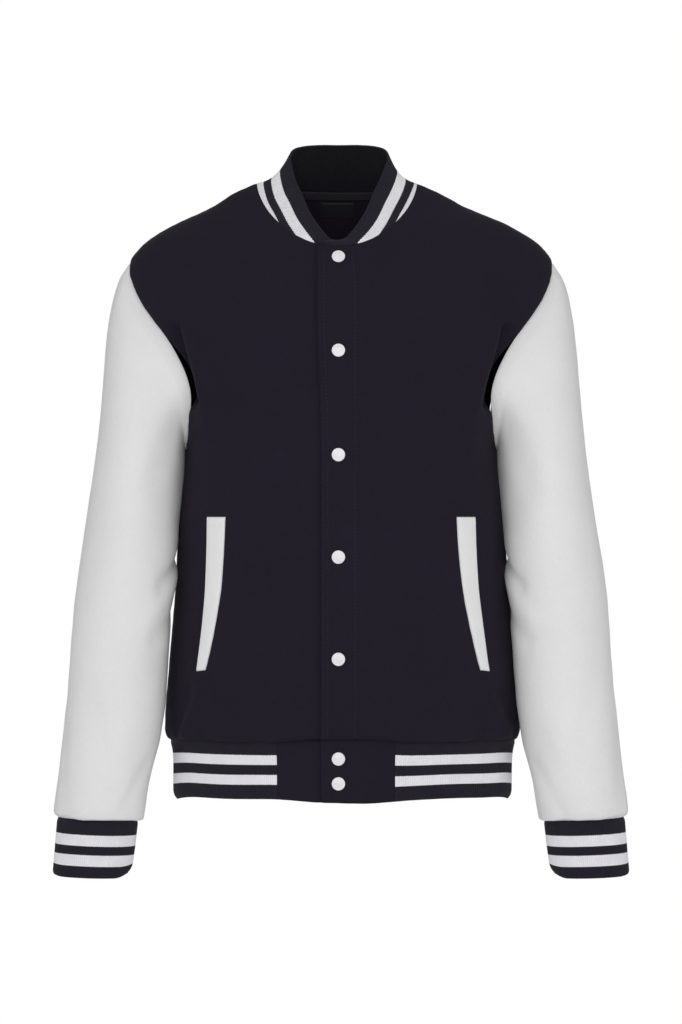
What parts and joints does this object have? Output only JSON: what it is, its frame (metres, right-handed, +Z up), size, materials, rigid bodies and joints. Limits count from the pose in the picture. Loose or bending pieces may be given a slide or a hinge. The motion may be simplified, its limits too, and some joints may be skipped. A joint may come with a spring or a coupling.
{
  "type": "varsity jacket",
  "caption": "Hollow worn varsity jacket with a snap front, welt pockets, set-in sleeves and striped rib collar, cuffs and waistband.",
  "frame": {"origin": "in the middle between the shoulders, level with the neck ends of the shoulder seams, where a wearer's shoulders carry the jacket", "axes": "+X towards the wearer's left, -Y out of the front, +Z up"},
  "size_m": [0.6432, 0.2475, 0.8243],
  "materials": {
    "fleece_navy": "matt brushed-back jersey in very dark navy, with a soft short nap",
    "fleece_white": "matt brushed-back jersey in off-white",
    "rib_striped": "rib knit in very dark navy with two off-white stripes across the ribs",
    "welt_white": "folded off-white jersey, edge-stitched",
    "neck_tape": "narrow herringbone tape in dark navy",
    "neck_label": "bare woven satin tab, nearly black",
    "snap_white": "smooth off-white enamelled cap"
  },
  "bodies": {
    "root": {"front_right": "fleece_navy", "front_left": "fleece_navy", "back": "fleece_navy", "sleeve_right": "fleece_white", "sleeve_left": "fleece_white", "cuff_right": "rib_striped", "cuff_left": "rib_striped", "collar": "rib_striped", "waistband_rib": "rib_striped", "waistband_end_right": "fleece_navy", "waistband_end_left": "fleece_navy", "pocket_welt_right": "welt_white", "pocket_welt_left": "welt_white", "neck_tape": "neck_tape", "neck_label": "neck_label", "snap_cap_1": "snap_white", "snap_cap_2": "snap_white", "snap_cap_3": "snap_white", "snap_cap_4": "snap_white", "snap_cap_5": "snap_white", "snap_cap_6": "snap_white", "snap_cap_7": "snap_white"}
  },
  "joints": []
}
